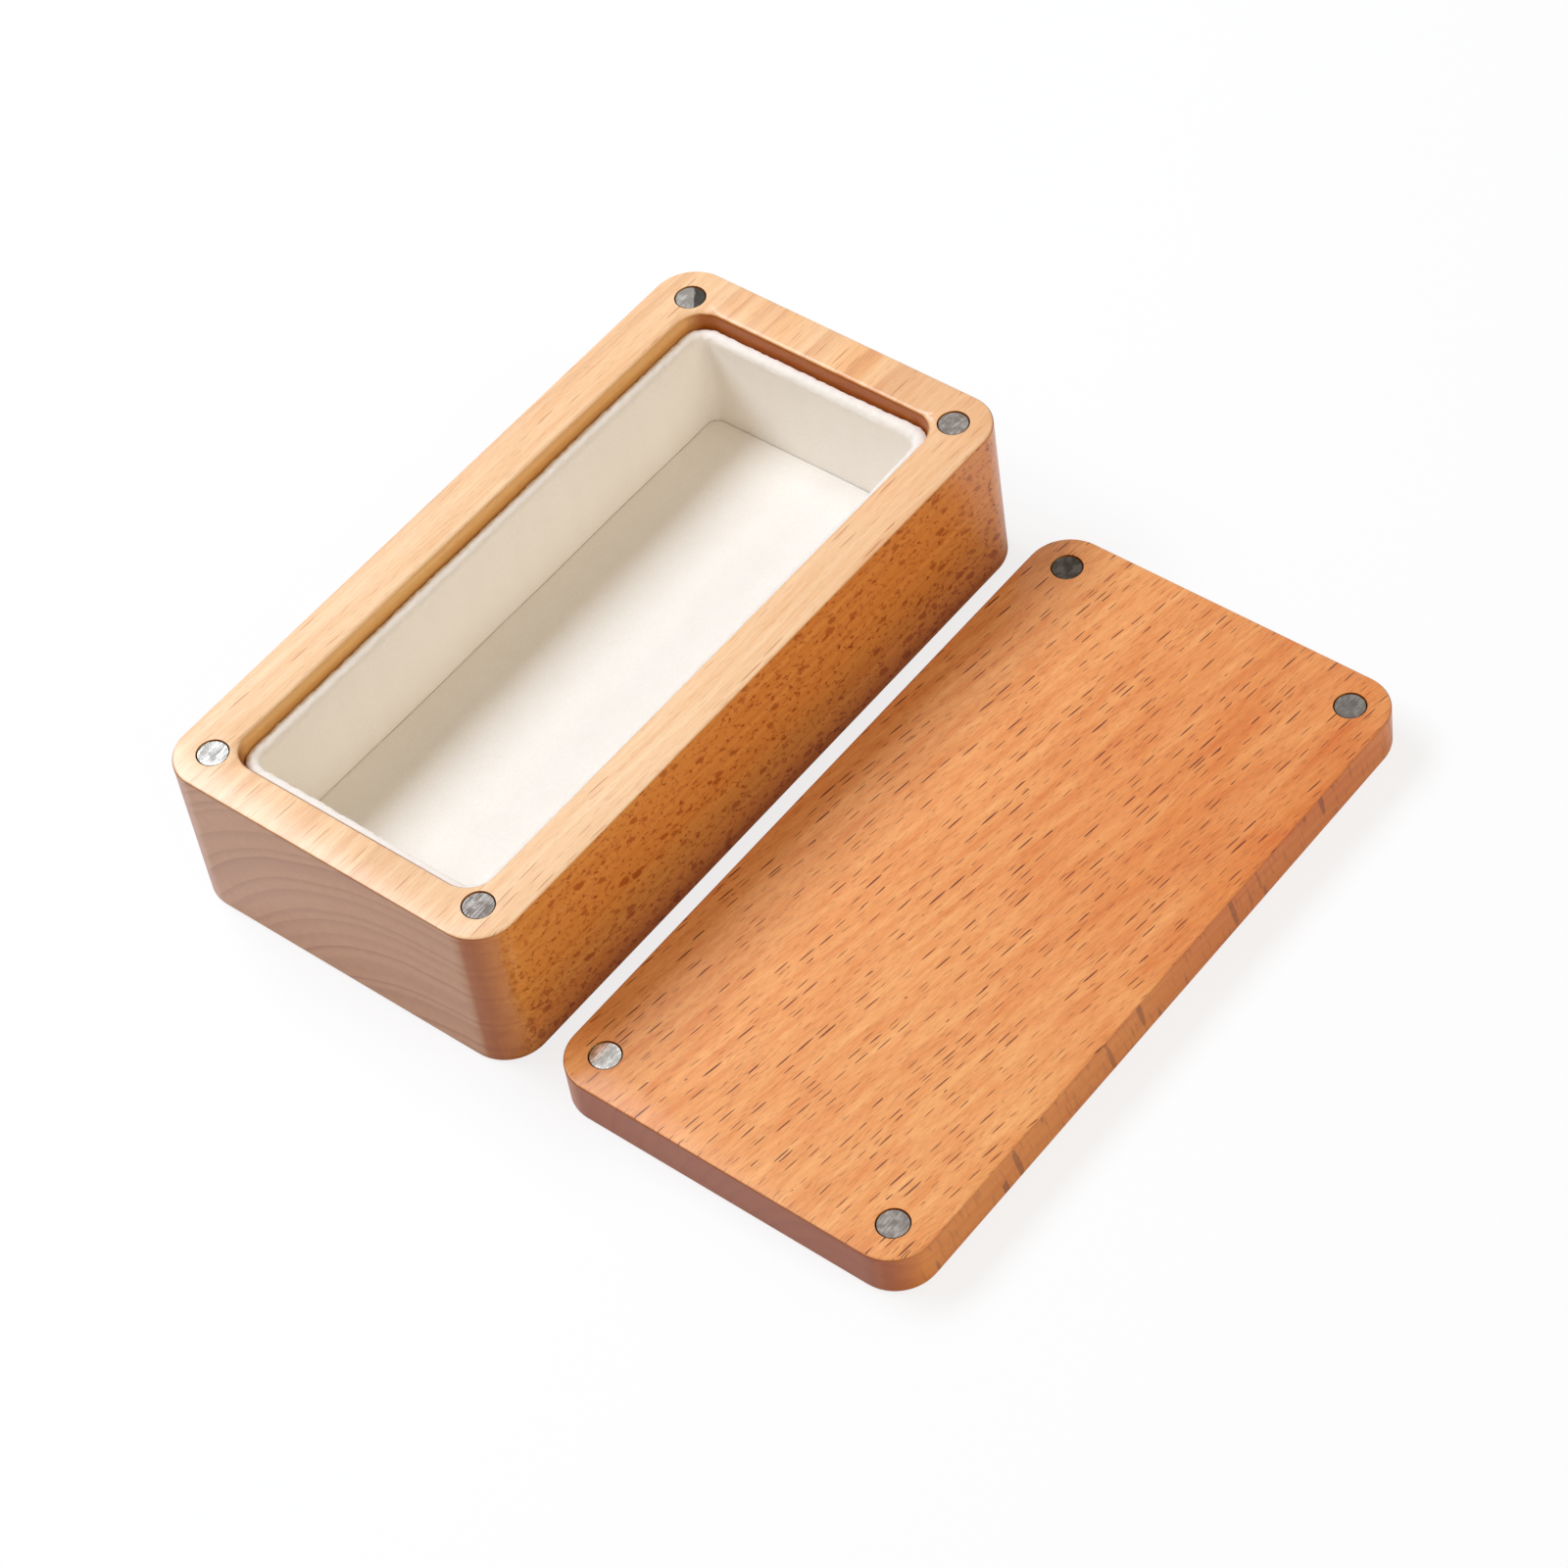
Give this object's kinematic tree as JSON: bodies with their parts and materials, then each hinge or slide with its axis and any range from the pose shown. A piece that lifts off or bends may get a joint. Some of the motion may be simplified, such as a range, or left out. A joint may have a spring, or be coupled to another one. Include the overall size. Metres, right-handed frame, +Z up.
{
  "type": "wooden jewelry box",
  "caption": "Small rounded beech box milled from a solid block, with a velvet-lined tray and a loose flat lid that disc magnets in the corners hold on the rim.",
  "frame": {"origin": "centre of the box's underside", "axes": "+X along the box's long side, +Y across it and away from the lid where it lies, +Z up"},
  "size_m": [0.15, 0.1644, 0.035],
  "materials": {
    "box_beech": "sanded and oiled beech",
    "lid_beech": "sanded and oiled beech, redder",
    "nickel": "nickel-plated magnet, satin with scuffs",
    "velvet": "ivory short-pile velvet",
    "card": "grey lining board, hidden"
  },
  "bodies": {
    "box": {"box_body": "box_beech", "rim_magnet_front_left": "nickel", "rim_magnet_front_right": "nickel", "rim_magnet_back_left": "nickel", "rim_magnet_back_right": "nickel", "front_wall_cover": "velvet", "back_wall_cover": "velvet", "left_wall_cover": "velvet", "right_wall_cover": "velvet", "floor_cover": "velvet", "front_wall_card": "card", "back_wall_card": "card", "left_wall_card": "card", "right_wall_card": "card", "floor_card": "card"},
    "lid": {"lid_board": "lid_beech", "lid_magnet_front_left": "nickel", "lid_magnet_front_right": "nickel", "lid_magnet_back_left": "nickel", "lid_magnet_back_right": "nickel"}
  },
  "joints": [
    {"name": "lid_turn_over", "type": "hinge", "parent": "box", "child": "lid", "pos_m": [0, -0.0432, 0.0224], "axis": [-1, 0, 0], "range_deg": [0, 180]}
  ]
}
